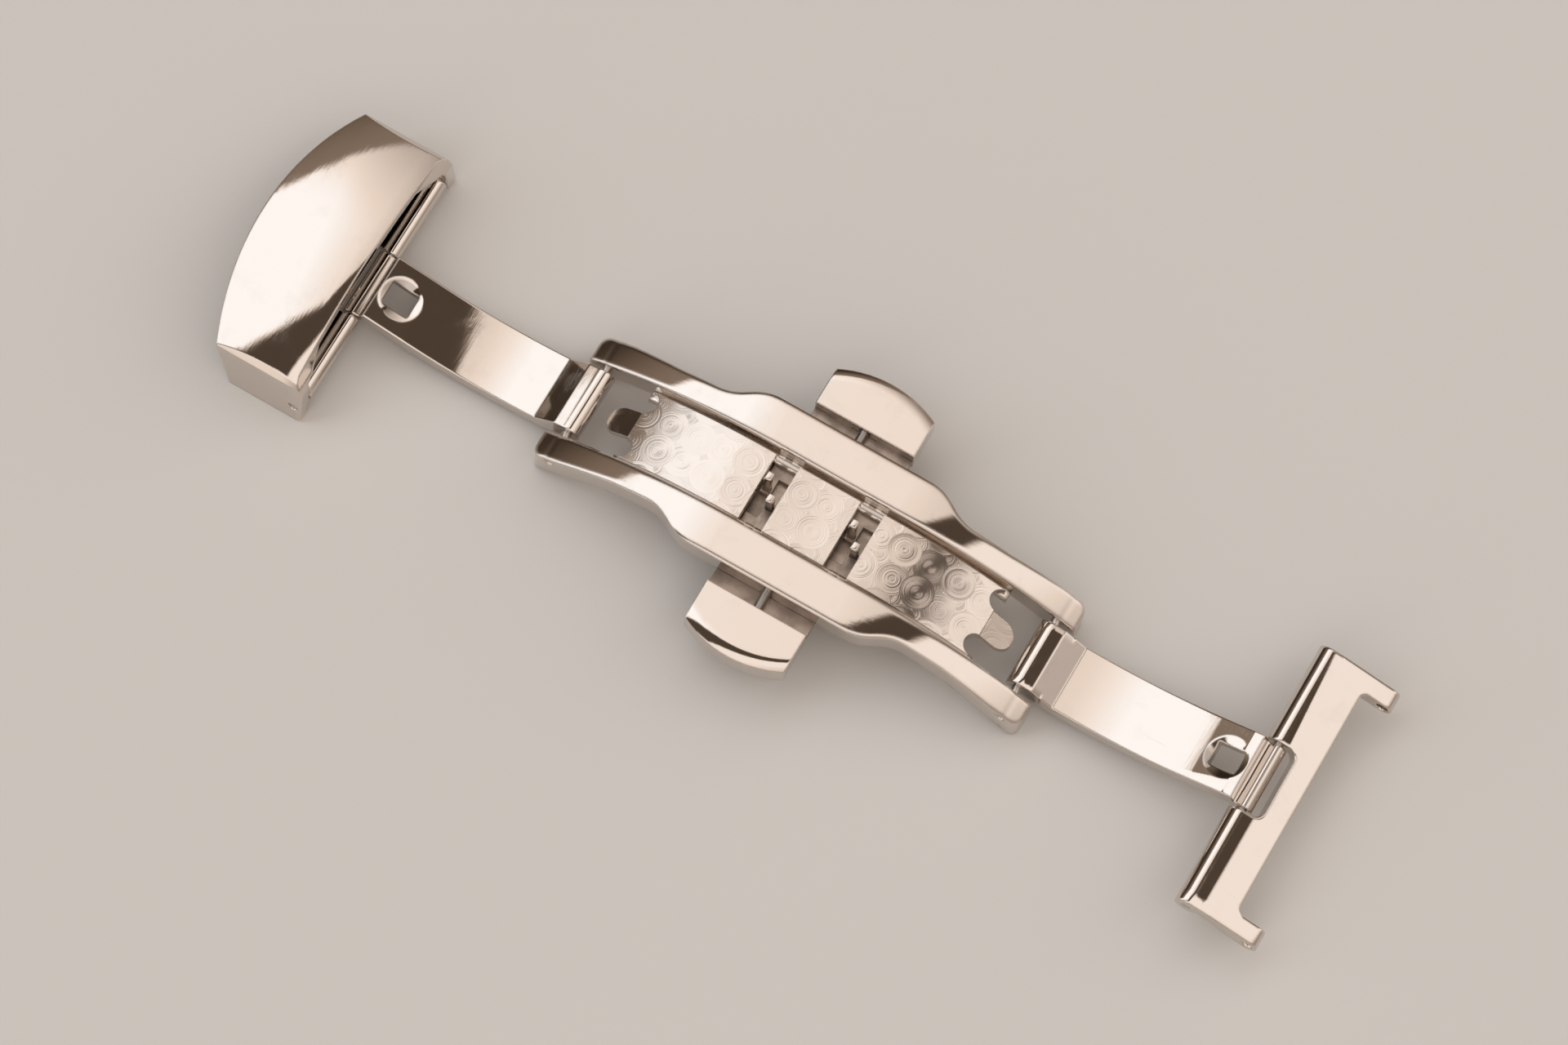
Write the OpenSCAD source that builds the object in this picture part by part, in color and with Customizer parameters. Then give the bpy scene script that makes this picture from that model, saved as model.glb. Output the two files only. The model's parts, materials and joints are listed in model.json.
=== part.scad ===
// Butterfly deployant clasp for a watch strap, laid open on a table.
// X runs along the clasp, Y across the strap, Z up; the table is Z = 0.
// Both arms are drawn folded shut, then swung open about their pivots.

/* [Strap] */
// Width of the strap end that sits between the lugs
strap_w = 18; // [16:0.5:19]
// Thickness of each lug beside the strap
lug_t = 1.35; // [1:0.05:1.6]
// Radius of the spring bar hole in each lug
spring_bar_r = 0.5; // [0.4:0.05:0.55]
// Height of the tang that enters a hole in the strap
tang_h = 1.5; // [1:0.1:2.5]
// Radius of the tang
tang_r = 0.55; // [0.45:0.05:0.9]

/* [Frame] */
// Half length of each side rail
rail_half_l = 19.25; // [18.7:0.05:19.8]
// Half length of the flat middle of the arch
flat_half = 5; // [4.6:0.1:5.4]
// Radius of the arch on top of the rails
arch_r = 28; // [27:0.5:32]
// Height of the rail tops above the table
rail_top_z = 6.55; // [6.3:0.05:7]
// Thickness of the rails, square to the arch
rail_t = 2.2; // [2.1:0.05:2.3]
// Half of the gap between the two rails
rail_inner_y = 3.02; // [2.9:0.02:3.2]
// Half width over the rails at the pushers
rail_mid_y = 6.1; // [6:0.05:6.3]
// Half width over the rails at their waist
rail_waist_y = 4.75; // [4.6:0.05:4.9]
// Half width over the rails at their ends
rail_end_y = 5; // [4.9:0.05:5.2]
// Rounding of the rails' outer corners
rail_corner_r = 0.7; // [0.3:0.1:1]
// Thickness of the base plate under the middle
base_t = 0.55; // [0.4:0.05:0.8]
// Half length of the base plate
base_half_l = 7.3; // [7.1:0.1:8]
// Radius of the rivets that hold the base plate
rivet_r = 0.5; // [0.3:0.05:0.6]

/* [Decorated plates] */
// Half width of the three plates between the rails
plate_half_w = 2.66; // [2.55:0.01:2.75]
// Thickness of the plates
plate_t = 0.9; // [0.7:0.05:1]
// Depth of the plates below the rail tops
plate_drop = 0.7; // [0.65:0.05:0.8]
// Half length of the middle plate
middle_half_l = 2.42; // [2.3:0.02:2.5]
// Length of each hook window
window_l = 1.83; // [1.8:0.01:2]
// Reach of the outer plates without their tongue
plate_end_x = 13.9; // [13.4:0.1:14.2]
// Reach of the tongue at the end of each outer plate
tongue_end_x = 16; // [15.4:0.1:16.1]
// Half width of the tongue
tongue_half_w = 1; // [0.7:0.1:1.2]
// Thickness of the tongue
tongue_t = 0.5; // [0.3:0.05:0.6]
// Downward bend of the tongue
tongue_bend = 32; // [26:1:38]

/* [Arms] */
// Half width of both arms
arm_half_w = 2.5; // [2.3:0.05:2.6]
// Thickness of both arms
arm_t = 1.25; // [1.15:0.05:1.35]
// Gap between a shut arm and the plates below it
arm_gap = 0.15; // [0.1:0.01:0.25]
// Distance of each arm pivot from its end of the rails
pivot_inset = 1.4; // [1.2:0.05:1.7]
// Depth of the pivots below the rail tops
pivot_depth = 0.59; // [0.55:0.01:0.75]
// Radius of the block round each pivot
block_r = 0.92; // [0.85:0.01:1]
// Radius of the pivot pins
pivot_pin_r = 0.35; // [0.25:0.05:0.4]
// Radius of the knuckle at the outer end of an arm
knuckle_r = 0.75; // [0.7:0.01:0.78]
// Radius of the two long hinge pins
hinge_pin_r = 0.35; // [0.25:0.05:0.4]
// Half of the distance between the two hinge axes when shut
hinge_half_x = 1.1; // [1:0.05:1.3]
// Angle through which the right arm is swung open
right_open = 160.6; // [150:0.1:167]
// Angle through which the left arm is swung open
left_open = 167.3; // [160:0.1:168]
// Half length of the latch hole in each arm
hole_half_l = 1.05; // [1:0.01:1.1]
// Half width of the latch hole in each arm
hole_half_w = 0.9; // [0.86:0.01:0.95]

/* [Pushers] */
// Half length of each push button
cap_half_l = 3.9; // [3.6:0.1:4.1]
// Half of the gap between the two push buttons
cap_inner_y = 7.4; // [7.35:0.05:7.8]
// Width of a push button at its ends
cap_side_w = 3; // [2.8:0.1:3.4]
// Bulge of a push button's outer face
cap_bulge = 0.95; // [0.5:0.05:1.2]
// Underside of the push buttons above the table
cap_bottom_z = 3.2; // [2.8:0.1:3.6]
// Top of the push buttons above the table
cap_top_z = 5.46; // [5.44:0.01:5.5]
// Radius of the slope along a push button's bowed edge
cap_edge_r = 1.6; // [1.4:0.1:2.4]
// Width of that slope
cap_edge_w = 1; // [0.6:0.1:1.1]
// Travel of a push button
travel = 0.8; // [0.7:0.02:0.84]
// Thickness of the latch sliders
slider_t = 0.5; // [0.4:0.02:0.52]
// Half width of a slider inside the frame
slider_half_l = 4.22; // [4.18:0.01:4.26]
// Half length of a latch hook along the clasp
hook_half_l = 0.27; // [0.22:0.01:0.3]
// Thickness of a latch hook across the clasp
hook_t = 0.36; // [0.3:0.02:0.4]
// Overhang of the hook's beak
beak = 0.28; // [0.2:0.02:0.3]
// Radius of the pin that guides each push button
guide_pin_r = 0.33; // [0.25:0.01:0.34]

/* [Strap plate and cover] */
// Length of the strap plate from its hinge axis
strap_plate_l = 6.2; // [5.5:0.1:6.4]
// Thickness of the strap plate
strap_plate_t = 0.75; // [0.6:0.05:0.9]
// Reach of the cover's bowed end from the middle
cover_end_x = 43.6; // [43:0.1:44.5]
// Half width of the cover along its bottom edges
cover_half_w = 10.5; // [10.4:0.05:10.9]
// Inward lean of each side wall over its height
cover_flare = 0.55; // [0.4:0.05:0.7]
// Height of the crease between the top and the sides
crease_z = 5.22; // [5:0.02:5.6]
// Height of the middle of the domed top
dome_z = 7.15; // [6.8:0.05:7.6]
// Wall thickness of the cover
cover_t = 0.9; // [0.8:0.05:1]
// Radius of the bow at the cover's outer end
bow_r = 30; // [24:1:40]
// Lean of the bowed end
bow_lean = 12; // [6:1:14]
// Radius of the cover's top along the clasp
crown_r = 27; // [25:1:60]
// Distance of the cover's highest line from its hinge side
crown_x = 2.4; // [1.5:0.1:3.5]

/* [Lug bar] */
// Width of the bar from its hinge axis
bar_w = 3.05; // [2.8:0.05:3.4]
// Length of the lugs from the hinge axis to the bore
lug_l = 4.92; // [4.7:0.02:5.3]
// Radius of the rounded lug tips
lug_tip_r = 0.725; // [0.7:0.005:0.76]
// Radius of the lug bar's barrel
lug_barrel_r = 0.87; // [0.8:0.01:0.9]
// Rounding of the corners between the bar and its lugs
lug_fillet_r = 0.6; // [0.3:0.05:0.8]
// Droop of the bar as it lies
droop = 15; // [8:1:20]

/* [Hidden] */
$fn = 96;
eps = 0.01;

// Running clearances, radial round pins and between faces
pin_clear = 0.04;
guide_clear = 0.05;
slide_clear = 0.05;
side_clear = 0.08;
hinge_clear = 0.15;

steel = "silver";
cream_steel = "lightgray";
brushed_steel = "gainsboro";
dull_steel = "rosybrown";
pin_steel = "darkgray";

// Arch, as rings about one centre for each half of the frame
arch_cz = rail_top_z - arch_r;
plate_r = arch_r - plate_drop;
ledge_r = plate_r - plate_t;
arm_r = plate_r + arm_gap;
arm_in_z = arch_cz + arm_r;
arm_out_z = arm_in_z + arm_t;
pivot_x = rail_half_l - pivot_inset;
pivot_z = arch_cz + sqrt(pow(arch_r - pivot_depth, 2) - pow(pivot_x - flat_half, 2));

// Ledge inside each rail that carries the plates
ledge_y = 2.35;
ledge_end_x = plate_end_x + 0.3;

// Layers below the rails: base plate, sliders, slot
rail_under_z = rail_top_z - rail_t;
slider_z = rail_under_z - 0.39;
base_top_z = slider_z - slide_clear;
slot_top_z = slider_z + slider_t + slide_clear;
slot_half_l = slider_half_l + side_clear;
strip_half_l = slider_half_l - 0.37;
slot_mouth_half_l = strip_half_l + 0.1;
shoulder_y = rail_mid_y - 0.65;
foot_y = [3.1, rail_waist_y + 0.55];
rivet_x = base_half_l - 1;
rivet_y = foot_y[0] + 1.2;
rivet_top_z = rail_under_z + 0.65;

// S curve between the wide middle of a rail and its waist
s_start_x = 6;
s_end_x = 10.2;
s_straight = [0.3, 0.18];
s_run = (s_end_x - s_start_x - s_straight[0]) / 2;
s_drop = (rail_mid_y - rail_waist_y - s_straight[1]) / 2;
s_r = (pow(s_run, 2) + pow(s_drop, 2)) / (2 * s_drop);
waist_end_x = 13;

// Pushers, latch hooks and windows
window_x = middle_half_l + window_l / 2;
hook_shift = 0.42;
finger_half_l = hook_shift - 0.02;
finger_y = 0.2;
slider_y = 1.55;
hook_y = 0.38;
web_z = [arm_in_z + 0.3, arm_out_z - 0.45];
beak_z = web_z[1] + 0.05;
hook_top_z = beak_z + 0.3;
cap_apex_y = cap_inner_y + cap_side_w + cap_bulge;
cap_arc_r = (pow(cap_half_l, 2) + pow(cap_bulge, 2)) / (2 * cap_bulge);
prong_x = [1, 3];
prong_y = cap_inner_y + 1.2;
bore_z = 4.9;
bore_r = guide_pin_r + guide_clear;
bore_end_y = cap_inner_y + cap_side_w - 0.1;
guide_pin_y = [rail_mid_y - 1.5, cap_inner_y + 0.9];
spring_y = guide_pin_y[1] + travel + slide_clear;

// Knuckles and hinge axes, shut and open
axis_rise = 1.5;
hinge_z = arm_in_z + axis_rise;
neck_l = 1.5;
crease_a = 22.27;
crease_in = [flat_half + arm_r * sin(crease_a), arch_cz + arm_r * cos(crease_a)];
crease_out = [flat_half + (arm_r + arm_t) * sin(crease_a),
              arch_cz + (arm_r + arm_t) * cos(crease_a)];
crease_core = [flat_half + (arm_r + arm_t / 2) * sin(crease_a - 1),
               arch_cz + (arm_r + arm_t / 2) * cos(crease_a - 1)];
block_a = 19.6;
block_n = (block_r - eps) * [sin(block_a), cos(block_a)];
heel_a = 26.8;
heel_n = (block_r - eps) * [sin(heel_a), cos(heel_a)];
block_heel = [-1.21, -0.41];
dish_r = 1.58;
pocket_margin = 0.4;
function swung(x, z, a) = [
    pivot_x + (x - pivot_x) * cos(a) + (z - pivot_z) * sin(a),
    pivot_z - (x - pivot_x) * sin(a) + (z - pivot_z) * cos(a)];
right_axis = swung(hinge_half_x, hinge_z, right_open);
left_swung = swung(hinge_half_x, hinge_z, left_open);
left_axis = [-left_swung[0], left_swung[1]];

// Hinged bars on both long pins
barrel_in_y = arm_half_w + hinge_clear;
notch_y = arm_half_w + 0.25;
notch_x = 1.3;
notch_corner_r = 0.7;
bar_low = -0.15;
bar_high = 0.95;
lug_in_y = strap_w / 2;
lug_out_y = lug_in_y + lug_t;
lug_mid = (bar_high - 2 * lug_tip_r + bar_high) / 2;

// Cover section
dome_r = (pow(cover_crease_y(), 2) + pow(dome_z - crease_z, 2)) / (2 * (dome_z - crease_z));
function cover_crease_y() = cover_half_w - cover_flare - 0.45;
shoulder_z = crease_z - 0.57;
cover_front_x = left_axis[0] - 0.07;
cover_foot_x = left_axis[0] + 0.68;
crown_run = cover_end_x + cover_front_x - crown_x;
cover_end_z = dome_z - crown_r + sqrt(pow(crown_r, 2) - pow(crown_run, 2));
cover_wall_in_y = cover_half_w - cover_flare * left_axis[1] / shoulder_z - cover_t;
strap_plate_half_w = cover_wall_in_y - 0.32;
cover_pin_y = cover_wall_in_y + cover_t - 0.06;
tang_x = 3.9;
shank_r = 0.35;

// The origin is under the middle of the whole clasp
lug_tip_x = right_axis[0] + lug_l * cos(droop) + lug_mid * sin(droop) + lug_tip_r;
shift_x = (cover_end_x - lug_tip_x) / 2;

// Helpers: placing, and extruding along Y, Z and X
module placed() {
    translate([shift_x, 0, 0]) children();
}

module along_y(y0, y1) {
    translate([0, y1, 0]) rotate([90, 0, 0]) linear_extrude(y1 - y0) children();
}

module along_z(z0, z1) {
    translate([0, 0, z0]) linear_extrude(z1 - z0) children();
}

module along_x(x0, x1) {
    translate([x0, 0, 0]) rotate([90, 0, 90]) linear_extrude(x1 - x0) children();
}

module rod_y(x, z, r, y0, y1) {
    translate([x, y1, z]) rotate([90, 0, 0]) cylinder(r = r, h = y1 - y0);
}

module block(x0, x1, y0, y1, z0, z1) {
    translate([x0, y0, z0]) cube([x1 - x0, y1 - y0, z1 - z0]);
}

module lower_side() {
    rotate([0, 0, 180]) children();
}

module round_rect(hx, hy, r) {
    square([2 * hx - 2 * r, 2 * hy], center = true);
    square([2 * hx, 2 * hy - 2 * r], center = true);
    for (sx = [-1, 1], sy = [-1, 1])
        translate([sx * (hx - r), sy * (hy - r)]) circle(r, $fn = 32);
}

// Side view of the arch between two radii
module arch_section(r_in, r_out) {
    reach = 0.7 * r_out;
    translate([-flat_half, arch_cz + r_in]) square([2 * flat_half, r_out - r_in]);
    for (s = [-1, 1])
        intersection() {
            translate([s * flat_half, arch_cz])
                difference() {
                    circle(r_out, $fn = 256);
                    circle(r_in, $fn = 256);
                }
            translate([s > 0 ? flat_half : -flat_half - reach, arch_cz + r_out / 2])
                square([reach, r_out]);
        }
}

// Plan of the upper rail: wide middle, S curves, waist and flared ends
module rail_outline() {
    half = [[s_start_x, rail_mid_y], [s_start_x + s_run, rail_mid_y - s_drop],
            [s_end_x - s_run, rail_waist_y + s_drop], [s_end_x, rail_waist_y],
            [waist_end_x, rail_waist_y],
            [pivot_x - 1, rail_end_y], [rail_half_l, rail_end_y], [rail_half_l, rail_inner_y]];
    difference() {
        union() {
            polygon([for (p = half) p, for (i = [len(half) - 1:-1:0]) [-half[i][0], half[i][1]]]);
            for (s = [-1, 1]) scale([s, 1]) intersection() {
                translate([s_start_x, rail_mid_y - s_r]) circle(s_r, $fn = 128);
                translate([s_start_x, rail_inner_y]) square([s_run, s_r]);
            }
            translate([-ledge_end_x, ledge_y]) square([2 * ledge_end_x, rail_inner_y - ledge_y + eps]);
        }
        for (s = [-1, 1]) scale([s, 1]) {
            intersection() {
                translate([s_end_x, rail_waist_y + s_r]) circle(s_r, $fn = 128);
                translate([s_end_x - s_run, rail_inner_y]) square([s_run, s_r]);
            }
            translate([rail_half_l - rail_corner_r, rail_end_y - rail_corner_r]) difference() {
                square(rail_corner_r + eps);
                circle(rail_corner_r, $fn = 64);
            }
        }
    }
}

module rail() {
    difference() {
        union() {
            intersection() {
                along_y(ledge_y, rail_mid_y) arch_section(arch_r - rail_t, arch_r);
                along_z(-1, rail_top_z + 1) rail_outline();
            }
            for (s = [-1, 1]) scale([s, 1, 1])
                block(slot_half_l, base_half_l, foot_y[0], foot_y[1], base_top_z, rail_under_z + 0.3);
        }
        along_y(ledge_y - 1, rail_inner_y) arch_section(ledge_r, arch_r + 1);
        block(-slot_half_l, slot_half_l, ledge_y - 1, rail_mid_y - 0.6, base_top_z - 1, slot_top_z);
        block(-slot_mouth_half_l, slot_mouth_half_l, rail_mid_y - 1, rail_mid_y + 1,
              base_top_z - 1, slot_top_z);
        for (s = [-1, 1]) {
            rod_y(s * pivot_x, pivot_z, pivot_pin_r, 0, rail_end_y + 1);
            translate([s * rivet_x, rivet_y, base_top_z - 1])
                cylinder(r = rivet_r, h = rivet_top_z - base_top_z + 1, $fn = 48);
        }
        rod_y(0, bore_z, guide_pin_r, guide_pin_y[0], rail_mid_y + 1);
    }
}

module upper_side_rail() {
    color(cream_steel) placed() rail();
}

module lower_side_rail() {
    color(cream_steel) placed() lower_side() rail();
}

module base_plate() {
    color(dull_steel) placed() difference() {
        along_z(base_top_z - base_t, base_top_z) round_rect(base_half_l, foot_y[1], 0.6);
        for (sx = [-1, 1], sy = [-1, 1])
            translate([sx * rivet_x, sy * rivet_y, base_top_z - base_t - 1])
                cylinder(r = rivet_r, h = base_t + 2, $fn = 48);
    }
}

module frame_rivets() {
    color(pin_steel) placed()
        for (sx = [-1, 1], sy = [-1, 1])
            translate([sx * rivet_x, sy * rivet_y, base_top_z - base_t])
                cylinder(r = rivet_r, h = rivet_top_z - base_top_z + base_t, $fn = 48);
}

// Plan and side view of the right-hand plate with its bent tongue
module outer_plate() {
    bend_x = plate_end_x - 0.7;
    bend_z = arch_cz + sqrt(pow(plate_r, 2) - pow(bend_x - flat_half, 2));
    notch_r = (plate_half_w - tongue_half_w) / 2 - 0.03;
    intersection() {
        along_y(-plate_half_w, plate_half_w) {
            intersection() {
                arch_section(ledge_r, plate_r);
                square([plate_end_x, rail_top_z]);
            }
            translate([bend_x, bend_z]) rotate(-tongue_bend)
                translate([0, -tongue_t]) square([tongue_end_x, tongue_t]);
        }
        along_z(0, rail_top_z) difference() {
            union() {
                translate([middle_half_l + window_l, -plate_half_w])
                    square([plate_end_x - middle_half_l - window_l, 2 * plate_half_w]);
                translate([bend_x, -tongue_half_w])
                    square([tongue_end_x - tongue_half_w - bend_x, 2 * tongue_half_w]);
                translate([tongue_end_x - tongue_half_w, 0]) circle(tongue_half_w, $fn = 64);
            }
            for (s = [-1, 1])
                translate([plate_end_x + 0.1, s * (tongue_half_w + plate_half_w) / 2])
                    circle(notch_r, $fn = 64);
        }
    }
}

module right_perlage_plate() {
    color(brushed_steel) placed() outer_plate();
}

module left_perlage_plate() {
    color(brushed_steel) placed() mirror([1, 0, 0]) outer_plate();
}

module middle_perlage_plate() {
    color(brushed_steel) placed()
        block(-middle_half_l, middle_half_l, -plate_half_w, plate_half_w,
              arch_cz + ledge_r, arch_cz + plate_r);
}

module pivot_pin(s) {
    rod_y(s * pivot_x, pivot_z, pivot_pin_r, -rail_end_y + 0.15, rail_end_y - 0.15);
}

module left_pivot_pin() {
    color(pin_steel) placed() pivot_pin(-1);
}

module right_pivot_pin() {
    color(pin_steel) placed() pivot_pin(1);
}

module upper_guide_pin() {
    color(pin_steel) placed() rod_y(0, bore_z, guide_pin_r, guide_pin_y[0], guide_pin_y[1]);
}

module lower_guide_pin() {
    color(pin_steel) placed() lower_side()
        rod_y(0, bore_z, guide_pin_r, guide_pin_y[0], guide_pin_y[1]);
}

// Half section of a push button from the centre of its bow, sloped at the outer edge
module cap_section() {
    slope = [cap_arc_r - cap_edge_w, cap_top_z - cap_edge_r];
    difference() {
        translate([0, cap_bottom_z]) square([cap_arc_r, cap_top_z - cap_bottom_z]);
        translate(slope) difference() {
            square([cap_edge_w + 1, cap_edge_r + 1]);
            circle(cap_edge_r, $fn = 128);
        }
    }
}

// Push button: straight sides, bowed outer face, bored for its guide pin
module pusher_cap() {
    difference() {
        intersection() {
            translate([0, cap_apex_y - cap_arc_r, 0]) rotate_extrude($fn = 256) cap_section();
            block(-cap_half_l, cap_half_l, cap_inner_y, cap_apex_y + 1, 0, cap_top_z + 1);
        }
        rod_y(0, bore_z, bore_r, cap_inner_y - 1, bore_end_y);
        slider_prongs(-1);
    }
}

module slider_prongs(y_back) {
    for (s = [-1, 1]) scale([s, 1, 1])
        block(prong_x[0], prong_x[1], cap_inner_y + y_back, prong_y, slider_z, slider_z + slider_t);
}

// Latch slider: plate with shoulders, two fingers, and a hook on each finger
module latch_slider() {
    block(-slider_half_l, slider_half_l, slider_y, shoulder_y, slider_z, slider_z + slider_t);
    block(-strip_half_l, strip_half_l, shoulder_y - eps, cap_inner_y, slider_z, slider_z + slider_t);
    slider_prongs(-eps);
    for (s = [-1, 1]) {
        hook_x = s * window_x - hook_shift;
        block(hook_x - finger_half_l, hook_x + finger_half_l, finger_y, slider_y + eps,
              slider_z, slider_z + slider_t);
        along_x(hook_x - hook_half_l, hook_x + hook_half_l)
            polygon([[hook_y, slider_z + eps], [hook_y + hook_t, slider_z + eps],
                     [hook_y + hook_t, beak_z], [hook_y + hook_t + beak, beak_z],
                     [hook_y + hook_t + beak, beak_z + 0.06],
                     [hook_y + hook_t, hook_top_z], [hook_y, hook_top_z]]);
    }
}

module return_spring() {
    difference() {
        rod_y(0, bore_z, guide_pin_r, spring_y, bore_end_y);
        rod_y(0, bore_z, guide_pin_r - 0.13, spring_y - 1, bore_end_y + 1);
    }
}

module upper_pusher_cap() {
    color(cream_steel) placed() pusher_cap();
}

module lower_pusher_cap() {
    color(cream_steel) placed() lower_side() pusher_cap();
}

module upper_latch_slider() {
    color(dull_steel) placed() latch_slider();
}

module lower_latch_slider() {
    color(dull_steel) placed() lower_side() latch_slider();
}

module upper_return_spring() {
    color(pin_steel) placed() return_spring();
}

module lower_return_spring() {
    color(pin_steel) placed() lower_side() return_spring();
}

// Side views of an arm folded shut over the right half of the frame
module leaf_section() {
    translate([hinge_half_x + neck_l, arm_in_z])
        square([flat_half - hinge_half_x - neck_l, arm_t]);
    intersection() {
        translate([flat_half, arch_cz]) difference() {
            circle(arm_r + arm_t, $fn = 256);
            circle(arm_r, $fn = 256);
        }
        translate([flat_half, arch_cz])
            polygon([[0, 0], [0, 2 * arm_r], 2 * arm_r * [sin(crease_a), cos(crease_a)]]);
    }
}

module block_section() {
    polygon([[pivot_x, pivot_z] - heel_n, [pivot_x, pivot_z] + block_heel,
             crease_in, crease_core, crease_out, [pivot_x, pivot_z] + block_n]);
}

module neck_section() {
    polygon([[hinge_half_x + neck_l, arm_in_z], [hinge_half_x + 0.56, arm_in_z],
             [hinge_half_x + 0.45, hinge_z - knuckle_r - 0.03],
             [hinge_half_x, hinge_z - knuckle_r + eps], [hinge_half_x, hinge_z],
             [hinge_half_x + knuckle_r - eps, hinge_z], [hinge_half_x + knuckle_r + 0.25, arm_out_z],
             [hinge_half_x + neck_l, arm_out_z], [hinge_half_x + neck_l + 0.3, arm_in_z + arm_t / 2]]);
}

// Arm with its latch hole, a pocket on its outer face and a sunk cone on the inner one
module shut_arm() {
    difference() {
        union() {
            along_y(-arm_half_w, arm_half_w) leaf_section();
            along_y(-arm_half_w, arm_half_w) block_section();
            along_y(-arm_half_w, arm_half_w) neck_section();
            rod_y(pivot_x, pivot_z, block_r, -arm_half_w, arm_half_w);
            rod_y(hinge_half_x, hinge_z, knuckle_r, -arm_half_w, arm_half_w);
        }
        translate([window_x, 0, 0]) {
            along_z(arm_in_z - 1, arm_out_z + 1) round_rect(hole_half_l, hole_half_w, 0.12);
            translate([0, 0, arm_in_z - 0.075])
                cylinder(h = web_z[0] - arm_in_z + 0.075, r1 = dish_r + 0.2, r2 = dish_r - 0.8);
            along_z(web_z[1], arm_out_z + 1)
                round_rect(hole_half_l + pocket_margin, hole_half_w + pocket_margin, 0.3);
        }
        rod_y(pivot_x, pivot_z, pivot_pin_r + pin_clear, -arm_half_w - 1, arm_half_w + 1);
        rod_y(hinge_half_x, hinge_z, hinge_pin_r + pin_clear, -arm_half_w - 1, arm_half_w + 1);
    }
}

module open_arm(a) {
    translate([pivot_x, 0, pivot_z]) rotate([0, a, 0]) translate([-pivot_x, 0, -pivot_z])
        shut_arm();
}

module right_arm() {
    color(steel) placed() open_arm(right_open);
}

module left_arm() {
    color(steel) placed() mirror([1, 0, 0]) open_arm(left_open);
}

// Side view of a bar on its barrel, from the hinge axis to its far edge
module bar_section(len, low, high) {
    circle(knuckle_r, $fn = 64);
    translate([0, low]) square([len, high - low]);
}

// Side view of the lug bar, with a facet between its barrel and its top
module lug_section() {
    circle(lug_barrel_r, $fn = 64);
    polygon([[-0.2, bar_low], [bar_w, bar_low], [bar_w, bar_high], [bar_w / 4, bar_high],
             [-0.2, lug_barrel_r - 0.025]]);
}

// Strap plate: barrels on the pin, a notch for the arm's knuckle, a flat tail
module strap_plate_body() {
    difference() {
        union() {
            for (s = [-1, 1]) scale([1, s, 1])
                along_y(barrel_in_y, strap_plate_half_w)
                    bar_section(strap_plate_l, bar_low, bar_low + strap_plate_t);
            block(notch_x, strap_plate_l, -strap_plate_half_w, strap_plate_half_w,
                  bar_low, bar_low + strap_plate_t);
        }
        block(0, notch_x, -notch_y, notch_y, bar_low - 1, bar_low + strap_plate_t);
        rod_y(0, 0, hinge_pin_r, -strap_plate_half_w - 1, strap_plate_half_w + 1);
        translate([tang_x, 0, bar_low - 1]) cylinder(r = shank_r, h = strap_plate_t + 2, $fn = 48);
    }
}

module on_left_axis() {
    translate([left_axis[0], 0, left_axis[1]]) mirror([1, 0, 0]) children();
}

module strap_plate() {
    color(steel) placed() on_left_axis() strap_plate_body();
}

module strap_tang() {
    color(steel) placed() on_left_axis() translate([tang_x, 0, bar_low]) {
        cylinder(r = shank_r, h = strap_plate_t + eps, $fn = 48);
        translate([0, 0, strap_plate_t]) cylinder(r = tang_r, h = tang_h, $fn = 48);
    }
}

module left_hinge_pin() {
    color(pin_steel) placed() rod_y(left_axis[0], left_axis[1], hinge_pin_r, -cover_pin_y, cover_pin_y);
}

// End view of the cover under its top: creases, shoulders and flared walls
module cover_section(inset) {
    shoulder_y = cover_half_w - cover_flare;
    crease_y = cover_crease_y();
    slope = (crease_z - shoulder_z) / (shoulder_y - crease_y);
    roof_y = crease_y - (dome_z + 1 - crease_z) / slope;
    half = [[cover_half_w, 0], [shoulder_y, shoulder_z], [roof_y, dome_z + 1]];
    polygon([for (p = half) [p[0] - inset, p[1] - inset / 2],
             for (i = [len(half) - 1:-1:0]) [inset - half[i][0], half[i][1] - inset / 2]]);
}

// Solid under the cover's top, curved both along and across the clasp
module cover_crown(inset) {
    axis_r = dome_r - crown_r;
    translate([cover_front_x - crown_x, 0, dome_z - dome_r]) rotate([0, 90, 0])
        rotate_extrude($fn = 256) intersection() {
            translate([axis_r, 0]) circle(crown_r - inset, $fn = 256);
            translate([0, -crown_r / 2]) square([2 * crown_r, crown_r]);
        }
}

module strap_cover() {
    color(steel) placed() difference() {
        intersection() {
            difference() {
                intersection() {
                    along_x(-cover_end_x - 1, cover_foot_x) cover_section(0);
                    cover_crown(0);
                }
                intersection() {
                    along_x(-cover_end_x - 2, cover_foot_x + 1) cover_section(cover_t);
                    cover_crown(cover_t);
                }
            }
            along_y(-cover_half_w - 1, cover_half_w + 1)
                polygon([[-cover_end_x - 1, 0], [-cover_end_x - 1, dome_z + 1],
                         [cover_front_x, dome_z + 1], [cover_front_x, crease_z],
                         [cover_front_x + 0.5, crease_z - 0.6], [cover_foot_x, crease_z - 1.2],
                         [cover_foot_x, 0.3], [cover_foot_x - 0.3, 0]]);
            translate([bow_r / cos(bow_lean) - cover_end_x, 0, cover_end_z]) rotate([0, -bow_lean, 0])
                cylinder(r = bow_r, h = 6 * dome_z, center = true, $fn = 256);
        }
        rod_y(left_axis[0], left_axis[1], hinge_pin_r + pin_clear, -cover_half_w - 1, cover_half_w + 1);
    }
}

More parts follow.
